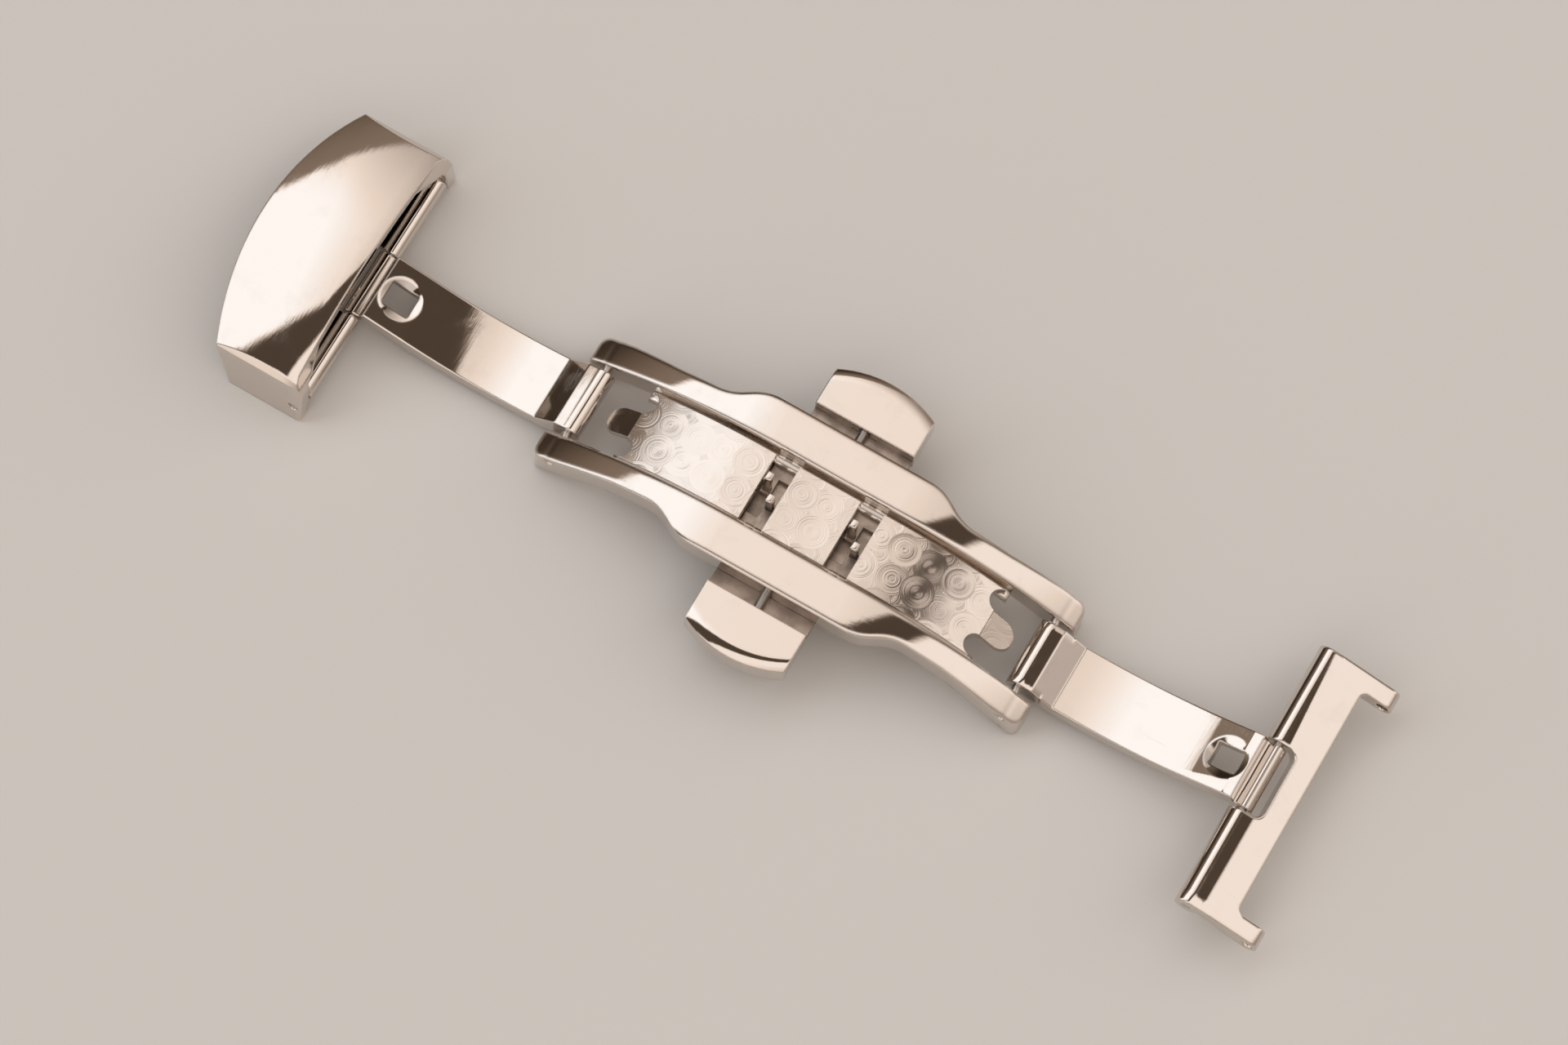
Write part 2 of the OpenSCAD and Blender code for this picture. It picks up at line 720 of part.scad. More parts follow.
module lug_fillet() {
    along_z(bar_low + 0.05, bar_high) difference() {
        translate([bar_w - 0.05, lug_in_y - lug_fillet_r]) square(lug_fillet_r + 0.05);
        translate([bar_w + lug_fillet_r, lug_in_y - lug_fillet_r]) circle(lug_fillet_r + eps, $fn = 64);
    }
}

// Lug bar: barrels, flat bar with a notch for the knuckle, and two lugs
module lug_bar_body() {
    difference() {
        union() {
            for (s = [-1, 1]) scale([1, s, 1]) {
                along_y(notch_y - notch_corner_r - 0.1, lug_out_y) lug_section();
                along_y(lug_in_y, lug_out_y) {
                    translate([lug_l, lug_mid]) circle(lug_tip_r, $fn = 64);
                    polygon([[bar_w - 1, bar_low], [bar_w, lug_mid - lug_tip_r],
                             [lug_l, lug_mid - lug_tip_r], [lug_l, bar_high], [bar_w - 1, bar_high]]);
                }
            }
            block(notch_x, bar_w, -lug_out_y, lug_out_y, bar_low, bar_high);
            for (s = [-1, 1]) scale([1, s, 1]) lug_fillet();
        }
        along_z(bar_low - 1, bar_high + 1) {
            translate([notch_x / 2 - 1, 0]) round_rect(notch_x / 2 + 1, notch_y, notch_corner_r);
        }
        rod_y(0, 0, hinge_pin_r, -lug_out_y - 1, lug_out_y + 1);
        rod_y(lug_l, lug_mid, spring_bar_r, -lug_out_y - 1, lug_out_y + 1);
    }
}

module on_right_axis() {
    translate([right_axis[0], 0, right_axis[1]]) rotate([0, droop, 0]) children();
}

module lug_bar() {
    color(steel) placed() on_right_axis() lug_bar_body();
}

module right_hinge_pin() {
    color(pin_steel) placed() on_right_axis() rod_y(0, 0, hinge_pin_r, -lug_out_y, lug_out_y);
}

upper_side_rail();
lower_side_rail();
base_plate();
frame_rivets();
left_perlage_plate();
middle_perlage_plate();
right_perlage_plate();
left_pivot_pin();
right_pivot_pin();
upper_guide_pin();
lower_guide_pin();
upper_pusher_cap();
lower_pusher_cap();
upper_latch_slider();
lower_latch_slider();
upper_return_spring();
lower_return_spring();
left_arm();
right_arm();
strap_plate();
strap_tang();
left_hinge_pin();
strap_cover();
lug_bar();
right_hinge_pin();
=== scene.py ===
"""Looks of a butterfly watch strap clasp, laid out as a Blender add-on and run as a script."""

import json
import math

import bpy
from mathutils import Matrix, Vector

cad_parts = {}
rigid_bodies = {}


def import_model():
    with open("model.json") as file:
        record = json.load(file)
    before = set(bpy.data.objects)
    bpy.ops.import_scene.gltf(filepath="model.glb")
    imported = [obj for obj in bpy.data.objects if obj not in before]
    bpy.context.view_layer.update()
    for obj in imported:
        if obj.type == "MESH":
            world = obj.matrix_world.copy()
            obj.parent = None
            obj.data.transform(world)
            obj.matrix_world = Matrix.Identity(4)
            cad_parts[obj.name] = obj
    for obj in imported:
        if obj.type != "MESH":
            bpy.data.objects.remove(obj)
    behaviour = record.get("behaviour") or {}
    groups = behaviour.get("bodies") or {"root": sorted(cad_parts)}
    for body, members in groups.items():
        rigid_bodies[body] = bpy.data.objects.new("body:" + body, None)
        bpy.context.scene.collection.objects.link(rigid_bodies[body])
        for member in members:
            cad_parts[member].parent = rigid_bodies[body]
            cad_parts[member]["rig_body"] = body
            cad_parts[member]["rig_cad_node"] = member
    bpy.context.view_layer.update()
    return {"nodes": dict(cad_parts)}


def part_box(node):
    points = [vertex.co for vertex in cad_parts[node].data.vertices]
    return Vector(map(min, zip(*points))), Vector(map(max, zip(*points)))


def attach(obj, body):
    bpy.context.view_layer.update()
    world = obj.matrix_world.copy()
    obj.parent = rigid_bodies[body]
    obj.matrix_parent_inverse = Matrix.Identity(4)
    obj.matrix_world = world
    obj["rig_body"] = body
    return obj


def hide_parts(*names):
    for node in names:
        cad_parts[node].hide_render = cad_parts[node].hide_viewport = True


bl_info = {
    "name": "Butterfly clasp looks",
    "version": (1, 0, 0),
    "blender": (4, 5, 0),
    "location": "View3D > Sidebar > Clasp",
    "description": "Polished steel, perlage and stage for a butterfly deployant clasp",
    "category": "Material",
}

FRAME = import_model()
MM = 0.001
MICRON = 0.000001

# Changes per metre of the marks on polished steel
BUFFED_ALONG = (700, 5200, 5200)
BUFFED_ACROSS = (5200, 700, 5200)
HAIRLINE_RATE = (120, 2600, 900)
RIPPLE_RATE = 1500
WAVE_RATE = 230
WISP_RATE = 420

# Heights of the marks on polished steel, in micrometres
STREAK_HEIGHT = 1.2
WORN_STREAK_HEIGHT = 1.4
WORN_RIPPLE_HEIGHT = 0.8
WAVE_HEIGHT = 11
SCRATCH_DEPTH = 1.5

# Share of the darker colour in the marks, and how much rougher they are
WORN_GRIME = 0.08
SCRATCH_GRIME = 0.07
WORN_HAZE = 0.05
SCRATCH_HAZE = 0.08

# Places where the polished pieces lean or bend
RAIL_LINE = 4.1 * MM
COVER_MIDDLE = -38 * MM
COVER_CURL_START = -34.8 * MM
LEFT_HOLE = -31.3 * MM
RIGHT_HOLE = 34.04 * MM
BAR_NARROW_START = 37.5 * MM
BAR_SLOPE_START = 37.55 * MM
BAR_SLOPE_END = 38.3 * MM
BAR_END = 9.4 * MM
BAR_NARROW_REACH = 0.8 * MM
BAR_NARROW_SLANT = 0.055
SOFT_TURN = 0.1 * MM
KNUCKLE_SEAMS = (36.52 * MM, 36.80 * MM)
SEAM_DEPTH = 25
LEAF_FLAT_START = 34.9 * MM
LEAF_CORNER = 35.4 * MM
LEAF_EDGE = 9.02 * MM
LEAF_EDGE_SLANT = 0.22
BLOCK_SIDE = 1.95 * MM

# Bends, in micrometres of height per square metre
RAIL_PILLOW = -26e6
COVER_TWIST = -6.2e6
COVER_SIDE_FALL = -1.2e6
COVER_CURL = -46e6
LEFT_ARM_PILLOW = -4e6
LEFT_ARM_BENDS = ((-29.7 * MM, -7.2e6), (-25.7 * MM, 13e6), (-20.7 * MM, -5.8e6))
BAR_END_FALL = -140e6
LEAF_EDGE_FALL = -130e6
BLOCK_SIDE_FALL = -230e6

# How the cover's corners lift, per cubic metre, and how its twist eases off, per square metre
COVER_CORNER_LIFT = 230e6
COVER_TWIST_EASE = 18000

# Slopes, in micrometres of height per metre
BAR_LEAN = 20000
BAR_WIDE_LEAN = -0.06e6
BAR_NARROW_LEAN = -0.07e6
LEAF_FLAT_LEAN = -0.22e6

# Stamped steel
RUBBED_FROM = 5.0 * MM
RUBBED_TO = 5.6 * MM
GRAIN_RATE = 2600
STAIN_RATE = 700
GRAIN_HEIGHT = 14

# Perlage: each layer's shift by columns and by rows, and the width of its cells, in pitches
SPOT_LAYERS = ((0.25, 0.5, 1), (0, 0.25, 2), (0.5, 0.75, 2), (0.5, 0.25, 2), (0, 0.75, 2))
ROW_PITCH = 1.08
SPOT_WANDER = 0.35 * MM
FINE_RING_RATE = 64000
BROAD_RING_RATE = 15000
FINE_RING_SLOPE = 0.5
BROAD_RING_SLOPE = 0.2
SPOT_DISH = 10

# Latch hooks: for stem and head the inner side, outer side, low end and radius of the edges
SLIDER_CUT = 4.6 * MM
HOOK_LINE = 1.42 * MM
HOOK_PLACES = (-2.915 * MM, 3.755 * MM)
HOOK_WIDTH = 0.56 * MM
HOOK_STEM = (0.4 * MM, 0.74 * MM, 4.4 * MM, 0.05 * MM)
HOOK_HEAD = (0.34 * MM, 1.02 * MM, 6.85 * MM, 0.14 * MM)
STEM_TOP = 7.02 * MM

# Studio: the direction of the camera, and how far the two light panels slant
TOWARDS_CAMERA = (0.114, -0.282, 0.953)
NEAR_SLANT = 1.5
FAR_SLANT = 1.9
FAR_PANEL_STRENGTH = 1.12
LAMP_STRENGTH = 1.12
BRIGHTEST_TINT = (1.0, 1.04, 1.09, 1)
DIMMEST_TINT = (1.0, 0.72, 0.52, 1)


# Shader maths

class Value:
    """A socket of a node tree. Operators and methods on it add Math nodes."""

    def __init__(self, tree, socket):
        self.tree = tree
        self.socket = socket

    def math(self, operation, *others):
        node = self.tree.nodes.new("ShaderNodeMath")
        node.operation = operation
        for slot, item in enumerate((self, *others)):
            plug(self.tree, node.inputs[slot], item)
        return Value(self.tree, node.outputs[0])

    def __add__(self, other):
        return self.math("ADD", other)

    __radd__ = __add__

    def __sub__(self, other):
        return self.math("SUBTRACT", other)

    def __rsub__(self, other):
        return self * -1 + other

    def __mul__(self, other):
        return self.math("MULTIPLY", other)

    __rmul__ = __mul__

    def __truediv__(self, other):
        return self.math("DIVIDE", other)

    def floor(self):
        return self.math("FLOOR")

    def size(self):
        return self.math("ABSOLUTE")

    def sqrt(self):
        return self.math("SQRT")

    def least(self, other):
        return self.math("MINIMUM", other)

    def most(self, other):
        return self.math("MAXIMUM", other)


def plug(tree, socket, item):
    """Link a Value, or set a plain number, colour or vector."""
    if isinstance(item, Value):
        tree.links.new(item.socket, socket)
    else:
        socket.default_value = item


def apart(u, v):
    """Distance of a point from a centre, from its two offsets."""
    return (u * u + v * v).sqrt()


def past(value, edge):
    """How far a value lies beyond an edge, or nothing."""
    return (value - edge).most(0)


def eased(reach):
    """A reach where it is positive and nothing where it is negative, with a soft turn between."""
    return ((reach * reach + SOFT_TURN * SOFT_TURN).sqrt() + reach) * 0.5


def bent(reach, bend):
    """Height that grows with the square of a reach."""
    return reach * reach * bend


def shaded(colour, factor):
    """A colour made darker or lighter by a plain number."""
    return tuple(c * factor for c in colour[:3]) + (1.0,)


class Surface:
    """A material or world under construction."""

    def __init__(self, name, world=False):
        self.data = bpy.data.worlds.new(name) if world else bpy.data.materials.new(name)
        self.data.use_nodes = True
        self.tree = self.data.node_tree
        self.tree.nodes.clear()

    def node(self, kind, settings=None, output=0, **values):
        """Add a node: settings first, then sockets by name or, with a leading i, by number."""
        made = self.tree.nodes.new("ShaderNode" + kind)
        for name, value in (settings or {}).items():
            setattr(made, name, value)
        for name, value in values.items():
            numbered = name[0] == "i" and name[1:].isdigit()
            key = int(name[1:]) if numbered else name.replace("_", " ")
            plug(self.tree, made.inputs[key], value)
        return Value(self.tree, made.outputs[output])

    def split(self, vector):
        """X, Y and Z of a vector."""
        made = self.tree.nodes.new("ShaderNodeSeparateXYZ")
        self.tree.links.new(vector.socket, made.inputs[0])
        return [Value(self.tree, made.outputs[axis]) for axis in range(3)]

    def joined(self, **axes):
        """A vector from its X, Y and Z."""
        return self.node("CombineXYZ", **axes)

    def place(self):
        """The surface point in the piece's own coordinates."""
        return self.node("TexCoord", output=3)

    def stretched(self, x, y, z):
        """The surface point with each axis multiplied."""
        return self.node("Mapping", Vector=self.place(), Scale=(x, y, z))

    def noise(self, vector, scale, detail, roughness):
        return self.node("TexNoise", Vector=vector, Scale=scale, Detail=detail, Roughness=roughness)

    def blend(self, factor, first, second):
        """Mix two colours, which are the Mix node's sockets 6 and 7."""
        return self.node("Mix", {"data_type": "RGBA"}, 2, i0=factor, i6=first, i7=second)

    def fade(self, value, low, high, start=0.0, end=1.0):
        """Smooth step from start to end as a value goes from low to high."""
        return self.node("MapRange", {"interpolation_type": "SMOOTHSTEP"},
                         i0=value, i1=low, i2=high, i3=start, i4=end)

    def softened(self, edge, samples):
        """The normal with corners rounded to a radius."""
        return self.node("Bevel", {"samples": samples}, Radius=edge)

    def raised(self, height, normal):
        """A normal changed by a height in micrometres."""
        return self.node("Bump", Strength=1.0, Distance=MICRON, Height=height, Normal=normal)

    def metal(self, colour, roughness, normal):
        """Finish the material as bare metal."""
        return self.finish(self.node("BsdfPrincipled", Base_Color=colour, Metallic=1.0,
                                     Roughness=roughness, Normal=normal))

    def finish(self, shader):
        """Link the shader to the output and give back the material or world."""
        world = isinstance(self.data, bpy.types.World)
        output = self.tree.nodes.new("ShaderNodeOutputWorld" if world else "ShaderNodeOutputMaterial")
        self.tree.links.new(shader.socket, output.inputs["Surface"])
        return self.data


# Shapes of the polished pieces, some with painted shade round the arms' latch holes

def pillowed(steel):
    """Rail tops that fall off gently to both sides."""
    _, y, _ = steel.split(steel.place())
    return bent(y.size() - RAIL_LINE, RAIL_PILLOW), 0


def crowned(steel):
    """A cover whose far corners lean apart, and whose hinge side curls down."""
    x, y, _ = steel.split(steel.place())
    u = x - COVER_MIDDLE
    twist = y * COVER_TWIST + y.size() * COVER_SIDE_FALL
    corner = y.size() * u * u * COVER_CORNER_LIFT
    curl = bent(past(x, COVER_CURL_START), COVER_CURL)
    return twist * (u - u * u * u * COVER_TWIST_EASE) + corner + curl, 0


def dished(steel):
    """A left arm that stays flat for longer, with painted shade on one side of the dish round its latch
    hole.
    """
    x, y, _ = steel.split(steel.place())
    height = bent(y, LEFT_ARM_PILLOW)
    for start, bend in LEFT_ARM_BENDS:
        height = height + bent(past(x, start), bend)
    u = x - LEFT_HOLE
    dish = steel.fade(apart(u, y), 1.46 * MM, 1.36 * MM)
    # painted shade on one side of the dish round the latch hole, standing in for a darker reflection
    # there
    return height, dish * steel.fade(u + y * -0.6, 0.9 * MM, 0.1 * MM) * 0.75


def leaned(steel):
    """A lug bar that lies a degree flatter than it is modelled.

    Its slope runs wider on the lower half, which has a rounded end, and narrows along the upper one.
    """
    x, y, _ = steel.split(steel.place())
    lower = steel.fade(y, 2 * MM, -2 * MM)
    wide = eased(BAR_SLOPE_END - x) - eased(BAR_SLOPE_START - x)
    narrow = eased(x + y * BAR_NARROW_SLANT - BAR_NARROW_START).least(BAR_NARROW_REACH)
    end = bent(past(y * -1, BAR_END), BAR_END_FALL)
    lower_lean = (wide * BAR_WIDE_LEAN + end) * lower
    upper_lean = narrow * BAR_NARROW_LEAN * (1 - lower)
    return x * BAR_LEAN + lower_lean + upper_lean, 0


def knuckled(steel):
    """Two fine seams over the right arm's rolled knuckle, and its leaf flattened beside the hole.

    The leaf falls off along its lower edge there, and the block does at both sides. The near side of the
    dish round the hole gets painted shade, and the seams a darker colour.
    """
    x, y, _ = steel.split(steel.place())
    first, second = (steel.fade((x - seam).size(), 0.06 * MM, 0.01 * MM) for seam in KNUCKLE_SEAMS)
    seams = first.most(second)
    flat = past(x, LEAF_FLAT_START) * steel.fade(x, 36.7 * MM, 35.8 * MM)
    beside = past(x.least(LEAF_CORNER) * LEAF_EDGE_SLANT - y, LEAF_EDGE)
    low = beside * steel.fade(x, 36.9 * MM, 34.9 * MM)
    side = past(y.size(), BLOCK_SIDE) * steel.fade(x, 21.2 * MM, 20.9 * MM)
    falls = bent(low, LEAF_EDGE_FALL) + bent(side, BLOCK_SIDE_FALL)
    u = x - RIGHT_HOLE
    # painted shade on the near side of the dish round the hole
    dish = steel.fade(apart(u, y), 1.62 * MM, 1.5 * MM) * steel.fade(y + u * 0.3, 0, -0.6 * MM)
    return flat * LEAF_FLAT_LEAN - seams * SEAM_DEPTH + falls, seams.most(dish * 0.9)


# Materials

def polished_steel(name, tint, edge, haze=0.05, shape=None, stroke=BUFFED_ALONG):
    """Mirror-polished steel: soft corners, fine buffing strokes, a few hairlines and wisps.

    shape is one of the functions above, which give more height in micrometres and a factor for the darker
    colour; round the arms' latch holes that factor is painted shade.
    stroke is how often the buffing changes along X, Y and Z, per metre.
    """
    steel = Surface(name)
    streaks = steel.noise(steel.stretched(*stroke), 1.0, 2.0, 0.6)
    ripple = steel.noise(steel.place(), RIPPLE_RATE, 1.0, 0.4)
    waves = steel.noise(steel.place(), WAVE_RATE, 1.0, 0.4)
    wisps = steel.noise(steel.place(), WISP_RATE, 4.0, 0.6)
    hairlines = steel.noise(steel.stretched(*HAIRLINE_RATE), 1.0, 2.0, 0.5)
    scratch = steel.fade(hairlines, 0.72, 0.79)
    worn = steel.fade(wisps, 0.52, 0.75)
    height = streaks * (worn * WORN_STREAK_HEIGHT + STREAK_HEIGHT) + ripple * worn * WORN_RIPPLE_HEIGHT
    height = height + waves * WAVE_HEIGHT - scratch * SCRATCH_DEPTH
    wear_and_painted_shade = worn * WORN_GRIME + scratch * SCRATCH_GRIME
    if shape:
        more, dark = shape(steel)
        height = height + more
        wear_and_painted_shade = wear_and_painted_shade.most(dark)
    # the darker colour is wear and scratches, plus painted shade from the shapes round the arms' latch
    # holes
    colour = steel.blend(wear_and_painted_shade, tint, shaded(tint, 0.55))
    roughness = worn * WORN_HAZE + scratch * SCRATCH_HAZE + haze
    return steel.metal(colour, roughness, steel.raised(height, steel.softened(edge, 8)))


def stamped_steel(name, tint, polish, edge):
    """Stamped steel with grain and stains; what stands above the sliders is rubbed bright."""
    steel = Surface(name)
    _, _, z = steel.split(steel.place())
    rubbed = steel.fade(z, RUBBED_FROM, RUBBED_TO)
    grain = steel.noise(steel.place(), GRAIN_RATE, 4.0, 0.65)
    stain = steel.noise(steel.place(), STAIN_RATE, 3.0, 0.5)
    dull = steel.blend(steel.fade(stain, 0.38, 0.66), tint, shaded(tint, 0.62))
    colour = steel.blend(rubbed, dull, polish)
    roughness = (grain * 0.2 + 0.24) * (1 - rubbed) + rubbed * 0.1
    height = grain * (1 - rubbed) * GRAIN_HEIGHT
    return steel.metal(colour, roughness, steel.raised(height, steel.softened(edge, 4)))


def perlage_steel(name, tint, edge, spot, pitch):
    """Overlapping round spots, each brushed in rings about its own centre.

    One layer of spots lies beneath, each over its whole cell; four layers of round spots lie on it.
    The rings turn the normal towards or away from the spot's centre.
    """
    steel = Surface(name)
    x, y, _ = steel.split(steel.place())
    turn_x = turn_y = tone = None
    for column, row, size in SPOT_LAYERS:
        width = pitch * size
        depth = pitch * ROW_PITCH * size
        across = (x / width + column).floor()
        along = (y / depth + row).floor()
        cell = steel.joined(X=across, Y=along, Z=column * 4 + row * 8 + size)
        wander = steel.split(steel.node("TexWhiteNoise", {"noise_dimensions": "3D"}, 1, Vector=cell))
        u = x - (across + (0.5 - column)) * width - (wander[0] - 0.5) * SPOT_WANDER
        v = y - (along + (0.5 - row)) * depth - (wander[1] - 0.5) * SPOT_WANDER
        distance = apart(u, v).most(MICRON)
        seed = wander[2] * 30 + column + row * 2
        fine = steel.noise(steel.joined(X=distance * FINE_RING_RATE, Y=seed), 1.0, 1.0, 0.6)
        broad = steel.noise(steel.joined(X=distance * BROAD_RING_RATE, Y=seed + 5), 1.0, 1.0, 0.6)
        rings = (fine - 0.5) * FINE_RING_SLOPE + (broad - 0.5) * BROAD_RING_SLOPE
        slope = (rings + distance * SPOT_DISH) / distance
        shade = wander[2] * 0.4 + broad * 0.6
        if tone is None:
            turn_x = u * slope
            turn_y = v * slope
            tone = shade
        else:
            inside = steel.fade(distance, spot, spot * 0.95)
            outside = 1 - inside
            turn_x = turn_x * outside + u * slope * inside
            turn_y = turn_y * outside + v * slope * inside
            tone = tone * outside + shade * inside
    turned = steel.node("VectorMath", {"operation": "SUBTRACT"}, i0=steel.softened(edge, 4),
                        i1=steel.joined(X=turn_x, Y=turn_y))
    normal = steel.node("VectorMath", {"operation": "NORMALIZE"}, i0=turned)
    colour = steel.blend(steel.fade(tone, 0.3, 0.7), shaded(tint, 0.9), tint)
    return steel.metal(colour, tone * 0.06 + 0.12, normal)


def paint(material, *nodes):
    """Give CAD nodes a material."""
    for node in nodes:
        slots = FRAME["nodes"][node].data.materials
        slots.clear()
        slots.append(material)


# Latch hooks

def hook_block(x, side, high, inner, outer, low, edge):
    """Add one rounded block of a hook to the slider in edit mode."""
    bpy.ops.mesh.select_all(action="DESELECT")
    bpy.ops.mesh.primitive_cube_add(size=1, location=(x, side * (inner + outer) / 2, (low + high) / 2),
                                    scale=(HOOK_WIDTH, outer - inner, high - low))
    bpy.ops.mesh.bevel(offset=edge, offset_type="OFFSET", segments=4, affect="EDGES")


def slider_with_hooks(node, name, side):
    """A merged copy of a slider that stands for the node, its two hooks remade with rounded heads."""
    bpy.ops.object.select_all(action="DESELECT")
    source = FRAME["nodes"][node]
    source.select_set(True)
    bpy.context.view_layer.objects.active = source
    bpy.ops.object.duplicate()
    slider = bpy.context.object
    slider.name = slider.data.name = name
    body = slider["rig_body"]
    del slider["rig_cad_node"]
    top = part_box(node)[1][2]
    bpy.ops.object.mode_set(mode="EDIT")
    bpy.ops.mesh.select_all(action="SELECT")
    bpy.ops.mesh.customdata_custom_splitnormals_clear()
    bpy.ops.mesh.remove_doubles(threshold=0.2 * MICRON)
    bpy.ops.mesh.dissolve_limited(angle_limit=math.radians(0.2))
    bpy.ops.mesh.select_all(action="SELECT")
    bpy.ops.mesh.bisect(plane_co=(0, 0, SLIDER_CUT), plane_no=(0, 0, 1), clear_outer=True,
                        use_fill=True)
    for place in HOOK_PLACES:
        hook_block(HOOK_LINE - side * place, side, STEM_TOP, *HOOK_STEM)
        hook_block(HOOK_LINE - side * place, side, top, *HOOK_HEAD)
    bpy.ops.object.mode_set(mode="OBJECT")
    bpy.ops.object.shade_smooth_by_angle(angle=math.radians(32))
    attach(slider, body)
    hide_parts(node)
    return slider


# Properties

class ClaspFinish(bpy.types.PropertyGroup):
    """Colours and finish sizes of the clasp."""

    steel_tint: bpy.props.FloatVectorProperty(
        name="Steel", description="Colour of the polished steel", subtype="COLOR", size=4,
        min=0, max=1, default=(0.70, 0.635, 0.58, 1))
    perlage_tint: bpy.props.FloatVectorProperty(
        name="Perlage", description="Colour of the decorated plates", subtype="COLOR", size=4,
        min=0, max=1, default=(0.70, 0.625, 0.56, 1))
    dull_tint: bpy.props.FloatVectorProperty(
        name="Dull steel", description="Colour of the stamped pieces", subtype="COLOR", size=4,
        min=0, max=1, default=(0.42, 0.34, 0.28, 1))
    rail_edge: bpy.props.FloatProperty(
        name="Rail edge", description="Radius of the rails' polished corners", subtype="DISTANCE",
        default=0.5 * MM, min=0)
    arm_edge: bpy.props.FloatProperty(
        name="Arm edge", description="Radius of the arms' and bars' corners", subtype="DISTANCE",
        default=0.2 * MM, min=0)
    spot: bpy.props.FloatProperty(
        name="Spot", description="Radius of a perlage spot", subtype="DISTANCE",
        default=1.25 * MM, min=0)
    pitch: bpy.props.FloatProperty(
        name="Pitch", description="Distance between two spots of one row", subtype="DISTANCE",
        default=2.05 * MM, min=0)


class ClaspStage(bpy.types.PropertyGroup):
    """Camera, floor and studio."""

    camera_place: bpy.props.FloatVectorProperty(
        name="Camera", description="Place of the camera", subtype="XYZ", size=3,
        default=(46.547 * MM, -116.216 * MM, 394.319 * MM))
    camera_right: bpy.props.FloatVectorProperty(
        name="Right", description="Direction of the picture's right side", subtype="DIRECTION",
        size=3, default=(0.8651, 0.4997, 0.0442))
    camera_up: bpy.props.FloatVectorProperty(
        name="Up", description="Direction of the picture's top", subtype="DIRECTION",
        size=3, default=(-0.4885, 0.8191, 0.3007))
    lens: bpy.props.FloatProperty(
        name="Lens", description="Focal length for a 36 mm wide sensor, in mm", unit="CAMERA",
        default=137.27, min=1)
    floor_tint: bpy.props.FloatVectorProperty(
        name="Floor", description="Colour of the floor", subtype="COLOR", size=4,
        min=0, max=1, default=(0.72, 0.70, 0.67, 1))
    lamp_tint: bpy.props.FloatVectorProperty(
        name="Lamp", description="Colour of the studio's light panels", subtype="COLOR", size=4,
        min=0, max=1, default=(1.0, 0.89, 0.81, 1))


# Operators

class CLASP_OT_rails(bpy.types.Operator):
    """Finish the side rails and push buttons in polished steel"""

    bl_idname = "clasp.rails"
    bl_label = "Rails and push buttons"

    def execute(self, context):
        finish = context.scene.clasp_finish
        tint = tuple(finish.steel_tint)
        paint(polished_steel("polished rails", tint, finish.rail_edge, shape=pillowed),
              "upper_side_rail", "lower_side_rail")
        paint(polished_steel("polished push buttons", tint, finish.arm_edge),
              "upper_pusher_cap", "lower_pusher_cap")
        return {"FINISHED"}


class CLASP_OT_arms(bpy.types.Operator):
    """Finish the arms, strap plate, cover and lug bar in polished steel"""

    bl_idname = "clasp.arms"
    bl_label = "Arms, cover and bars"

    def execute(self, context):
        finish = context.scene.clasp_finish
        tint = tuple(finish.steel_tint)
        edge = finish.arm_edge
        paint(polished_steel("polished cover", tint, edge, shape=crowned, stroke=BUFFED_ACROSS),
              "strap_cover")
        paint(polished_steel("polished strap plate", tint, edge), "strap_plate", "strap_tang")
        paint(polished_steel("polished left arm", tint, edge, shape=dished, stroke=BUFFED_ACROSS),
              "left_arm")
        paint(polished_steel("polished right arm", tint, edge, shape=knuckled, stroke=BUFFED_ACROSS),
              "right_arm")
        paint(polished_steel("polished lug bar", tint, finish.rail_edge * 0.6, shape=leaned),
              "lug_bar")
        return {"FINISHED"}


class CLASP_OT_pins(bpy.types.Operator):
    """Finish the pins, rivets and springs as turned steel"""

    bl_idname = "clasp.pins"
    bl_label = "Pins and springs"

    def execute(self, context):
        finish = context.scene.clasp_finish
        edge = finish.arm_edge * 0.5
        paint(polished_steel("turned pins", shaded(finish.steel_tint, 0.78), edge, haze=0.3),
              "left_hinge_pin", "right_hinge_pin", "left_pivot_pin", "right_pivot_pin",
              "upper_return_spring", "lower_return_spring", "frame_rivets")
        # guide pins: a rougher finish, and a darker colour that is painted shade for the gap between rail
        # and push button
        paint(polished_steel("dull pins in painted shade", shaded(finish.steel_tint, 0.5), edge, haze=0.35),
              "upper_guide_pin", "lower_guide_pin")
        return {"FINISHED"}


class CLASP_OT_latch(bpy.types.Operator):
    """Finish the stamped sliders and the base plate"""

    bl_idname = "clasp.latch"
    bl_label = "Stamped pieces"

    def execute(self, context):
        finish = context.scene.clasp_finish
        stamped = stamped_steel("stamped steel", tuple(finish.dull_tint), tuple(finish.steel_tint),
                                finish.arm_edge * 0.4)
        paint(stamped, "base_plate")
        for half, side in (("upper", 1), ("lower", -1)):
            slider = slider_with_hooks(half + "_latch_slider", half + "_slider_and_hooks", side)
            slider.data.materials.clear()
            slider.data.materials.append(stamped)
        return {"FINISHED"}


class CLASP_OT_perlage(bpy.types.Operator):
    """Finish the three decorated plates between the rails"""

    bl_idname = "clasp.perlage"
    bl_label = "Perlage plates"

    def execute(self, context):
        finish = context.scene.clasp_finish
        paint(perlage_steel("perlage steel", tuple(finish.perlage_tint), finish.arm_edge * 0.4,
                            finish.spot, finish.pitch),
              "left_perlage_plate", "middle_perlage_plate", "right_perlage_plate")
        return {"FINISHED"}


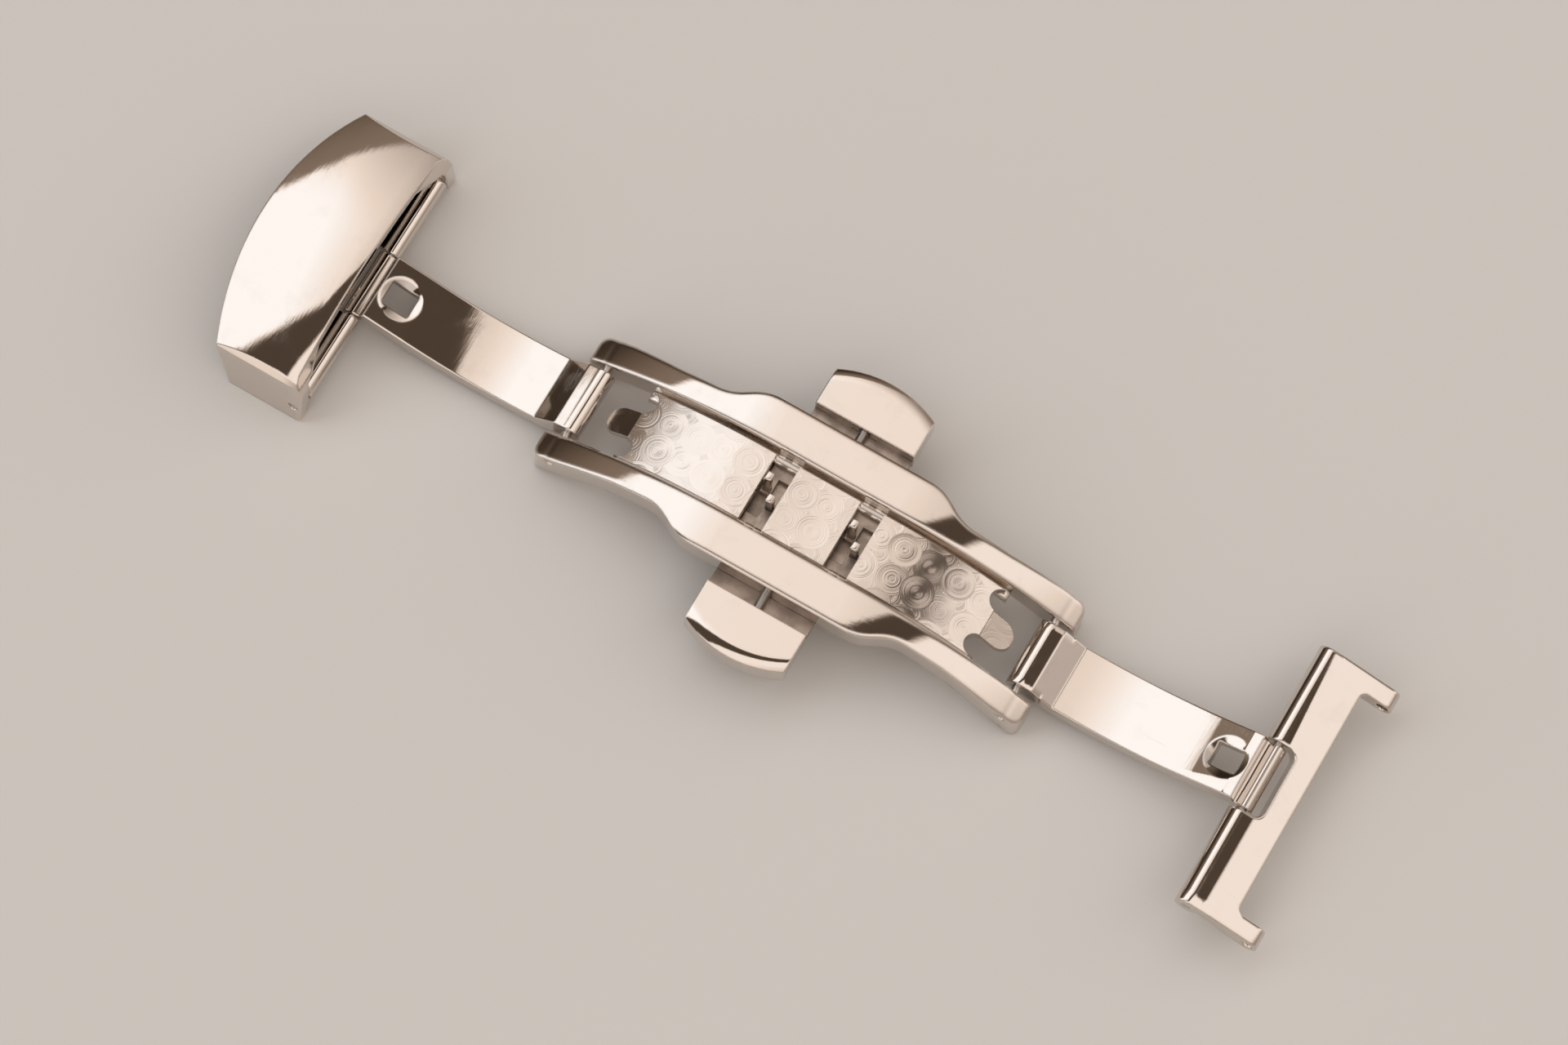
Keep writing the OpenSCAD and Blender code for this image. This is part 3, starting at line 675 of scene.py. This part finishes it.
class CLASP_OT_stage(bpy.types.Operator):
    """Add the camera, floor and studio light"""

    bl_idname = "clasp.stage"
    bl_label = "Stage"

    def execute(self, context):
        stage = context.scene.clasp_stage
        self.camera(context, stage)
        self.floor(context, stage)
        context.scene.world = self.studio(stage)
        context.scene.view_settings.view_transform = "Standard"
        return {"FINISHED"}

    def camera(self, context, stage):
        """The camera where the photograph was taken from."""
        right = Vector(stage.camera_right).normalized()
        up = Vector(stage.camera_up)
        up = (up - right * up.dot(right)).normalized()
        turn = Matrix((right, up, right.cross(up))).transposed().to_4x4()
        bpy.ops.object.camera_add()
        camera = context.object
        camera.matrix_world = Matrix.Translation(Vector(stage.camera_place)) @ turn
        camera.data.lens = stage.lens
        camera.data.sensor_width = 36
        camera.data.clip_start = 0.01
        context.scene.camera = camera

    def floor(self, context, stage):
        """A pale floor just beneath the clasp."""
        bpy.ops.mesh.primitive_plane_add(size=3, location=(0, 0, -0.02 * MM))
        floor = context.object
        floor.name = "floor"
        board = Surface("pale floor")
        tint = tuple(stage.floor_tint)
        cloud = board.noise(board.place(), 14, 2.0, 0.5)
        colour = board.blend(cloud, shaded(tint, 0.985), tint)
        shader = board.node("BsdfPrincipled", Base_Color=colour, Roughness=0.85)
        floor.data.materials.append(board.finish(shader))

    def studio(self, stage):
        """Two long light panels with dark gaps, as the polished steel mirrors them.

        lean_x and lean_y are the slopes of steel that mirrors a direction to the camera, so each
        fade below says which slopes see a panel or a gap.
        """
        sky = Surface("studio", world=True)
        halfway = sky.node("VectorMath", {"operation": "ADD"}, i0=sky.node("TexCoord"), i1=TOWARDS_CAMERA)
        x, y, z = sky.split(halfway)
        z = z.most(0.02)
        lean_x = x / z
        lean_y = y / z
        band = lean_x - lean_y / NEAR_SLANT
        far_band = lean_x - lean_y / FAR_SLANT
        near = sky.fade(band, -0.30, -0.275) * sky.fade(band, 0.115, 0.09)
        near_strength = (1.1 - lean_x * 1.8).least(1.27) * sky.fade(lean_y, 0.05, 0.6, 1.0, 0.45)
        far = sky.fade(far_band, 0.205, 0.235) * sky.fade(far_band, 0.85, 0.38, 0.3, 1.0)
        behind = sky.fade(band, -0.28, 0.0, 1.0, 0.0) * sky.fade(band, -0.62, -0.28, 0.05, 0.26)
        gap = behind + sky.fade(band, 0.0, 0.1) * 0.085
        beyond = gap * (1 - far) + far * FAR_PANEL_STRENGTH
        strength = near * near_strength + (1 - near) * beyond
        bright = sky.blend(sky.fade(strength, 1.0, 1.36), tuple(stage.lamp_tint), BRIGHTEST_TINT)
        colour = sky.blend(sky.fade(strength, 0.05, 0.6), DIMMEST_TINT, bright)
        return sky.finish(sky.node("Background", Color=colour, Strength=strength * LAMP_STRENGTH))


class CLASP_PT_panel(bpy.types.Panel):
    """Lists the clasp's finishes and stage"""

    bl_idname = "CLASP_PT_panel"
    bl_label = "Butterfly clasp"
    bl_space_type = "VIEW_3D"
    bl_region_type = "UI"
    bl_category = "Clasp"

    def draw(self, context):
        for group in (context.scene.clasp_finish, context.scene.clasp_stage):
            for name in group.__annotations__:
                self.layout.prop(group, name)
        for operator in STEPS:
            self.layout.operator(operator.bl_idname)


STEPS = (CLASP_OT_rails, CLASP_OT_arms, CLASP_OT_pins, CLASP_OT_latch, CLASP_OT_perlage,
         CLASP_OT_stage)
CLASSES = (ClaspFinish, ClaspStage, *STEPS, CLASP_PT_panel)


def register():
    for item in CLASSES:
        bpy.utils.register_class(item)
    bpy.types.Scene.clasp_finish = bpy.props.PointerProperty(type=ClaspFinish)
    bpy.types.Scene.clasp_stage = bpy.props.PointerProperty(type=ClaspStage)


def unregister():
    del bpy.types.Scene.clasp_finish
    del bpy.types.Scene.clasp_stage
    for item in reversed(CLASSES):
        bpy.utils.unregister_class(item)


def main():
    """Register the classes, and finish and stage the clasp."""
    register()
    bpy.ops.clasp.rails()
    bpy.ops.clasp.arms()
    bpy.ops.clasp.pins()
    bpy.ops.clasp.latch()
    bpy.ops.clasp.perlage()
    bpy.ops.clasp.stage()


if __name__ == "__main__":
    main()
